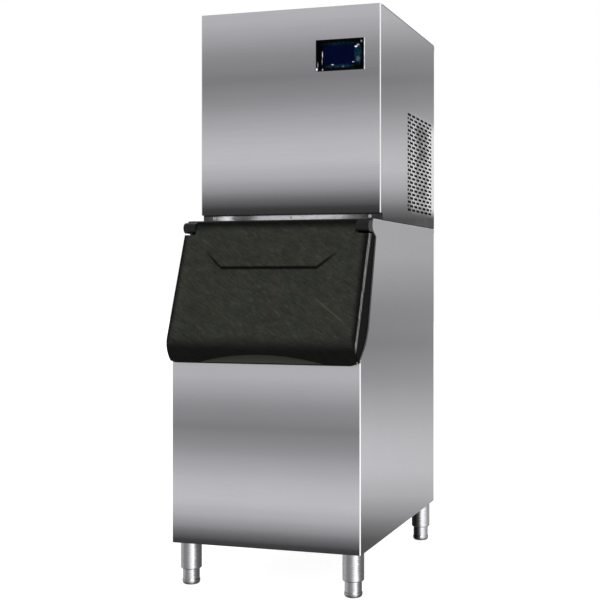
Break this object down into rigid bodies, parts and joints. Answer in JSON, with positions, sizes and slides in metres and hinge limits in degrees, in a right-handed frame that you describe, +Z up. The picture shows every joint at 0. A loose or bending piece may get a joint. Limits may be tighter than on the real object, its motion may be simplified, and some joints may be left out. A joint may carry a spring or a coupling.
{
  "type": "ice cube machine",
  "caption": "Upright stainless ice cube machine: a modular ice making head with a display and side grille on a slope-fronted storage bin with a lift-up door and levelling legs.",
  "frame": {"origin": "on the floor under the middle of the overall box", "axes": "+Z up, -Y towards the door and display, +X to the side with the grille"},
  "size_m": [0.56, 0.897, 1.658],
  "materials": {
    "steel_brushed": "brushed stainless sheet, satin",
    "steel_inner": "plain stainless and galvanised sheet",
    "bright_steel": "bright screws, pins and rods",
    "liner_plastic": "pale food-safe moulding",
    "foam": "rigid foam filling",
    "black_moulding": "black moulding, fine grain",
    "foot_plastic": "dark levelling feet",
    "seal_rubber": "soft dark seal",
    "screen_glass": "dark glossy window",
    "board": "circuit board and relays",
    "copper": "copper pipe",
    "plated_grid": "plated freezing grid",
    "curtain_plastic": "translucent pale moulding",
    "black_steel": "black enamel",
    "fin_aluminium": "thin fins and blades",
    "motor_metal": "dark can",
    "pump_plastic": "white moulding"
  },
  "bodies": {
    "cabinet": {"bin_base": "steel_inner", "bin_drain": "black_moulding", "bin_insulation": "foam", "bin_liner": "liner_plastic", "bin_rear_panel": "steel_brushed", "bin_shell": "steel_brushed", "compressor": "black_steel", "compressor_grommets": "seal_rubber", "condenser": "fin_aluminium", "control_board": "board", "control_box": "steel_inner", "discharge_line": "copper", "display_bezel": "black_moulding", "display_board": "board", "display_screen": "screen_glass", "door_frame": "black_moulding", "drain_strainer": "black_moulding", "evaporator": "plated_grid", "evaporator_coil": "copper", "evaporator_frame": "liner_plastic", "fan_bracket": "steel_inner", "fan_motor": "motor_metal", "fan_shroud": "steel_inner", "filter_drier": "copper", "float_stem": "bright_steel", "head_base": "steel_inner", "head_frame": "steel_inner", "head_front_panel": "steel_brushed", "head_left_panel": "steel_brushed", "head_rear_panel": "steel_brushed", "head_right_panel": "steel_brushed", "head_top_cover": "steel_brushed", "legs": "steel_inner", "liquid_line": "copper", "partition": "steel_inner", "pump_hose": "seal_rubber", "rim_gasket": "seal_rubber", "strip_screws": "bright_steel", "suction_line": "copper", "trough_drain": "black_moulding", "water_distributor": "liner_plastic", "water_feed": "pump_plastic", "water_pump": "pump_plastic", "water_trough": "liner_plastic", "water_valve": "pump_plastic"},
    "door": {"door_shell": "black_moulding", "door_liner": "liner_plastic", "door_insulation": "foam", "door_gasket": "seal_rubber", "hinge_pin_left": "bright_steel", "hinge_pin_right": "bright_steel"},
    "water_curtain": {"water_curtain": "curtain_plastic"},
    "fan": {"fan_blade": "fin_aluminium"},
    "float": {"float": "curtain_plastic"},
    "ice_probe": {"ice_probe": "black_moulding"},
    "foot_front_left": {"foot_front_left": "foot_plastic"},
    "foot_front_right": {"foot_front_right": "foot_plastic"},
    "foot_rear_left": {"foot_rear_left": "foot_plastic"},
    "foot_rear_right": {"foot_rear_right": "foot_plastic"}
  },
  "joints": [
    {"name": "door_hinge", "type": "hinge", "parent": "cabinet", "child": "door", "pos_m": [0, -0.3175, 1.017], "axis": [-1, 0, 0], "range_deg": [0, 165]},
    {"name": "curtain_pivot", "type": "hinge", "parent": "cabinet", "child": "water_curtain", "pos_m": [-0.0835, -0.0655, 1.56], "axis": [-1, 0, 0], "range_deg": [0, 16]},
    {"name": "fan_spin", "type": "hinge", "parent": "cabinet", "child": "fan", "pos_m": [0.1878, 0.234, 1.2275], "axis": [1, 0, 0], "continuous": true},
    {"name": "float_rise", "type": "slide", "parent": "cabinet", "child": "float", "axis": [0, 0, 1], "range_m": [0, 0.025]},
    {"name": "probe_pivot", "type": "hinge", "parent": "cabinet", "child": "ice_probe", "pos_m": [-0.0635, -0.0585, 1.565], "axis": [1, 0, 0], "range_deg": [-2, 2]},
    {"name": "level_front_left", "type": "slide", "parent": "cabinet", "child": "foot_front_left", "axis": [0, 0, -1], "range_m": [0, 0.025]},
    {"name": "level_front_right", "type": "slide", "parent": "cabinet", "child": "foot_front_right", "axis": [0, 0, -1], "range_m": [0, 0.025]},
    {"name": "level_rear_left", "type": "slide", "parent": "cabinet", "child": "foot_rear_left", "axis": [0, 0, -1], "range_m": [0, 0.025]},
    {"name": "level_rear_right", "type": "slide", "parent": "cabinet", "child": "foot_rear_right", "axis": [0, 0, -1], "range_m": [0, 0.025]}
  ]
}
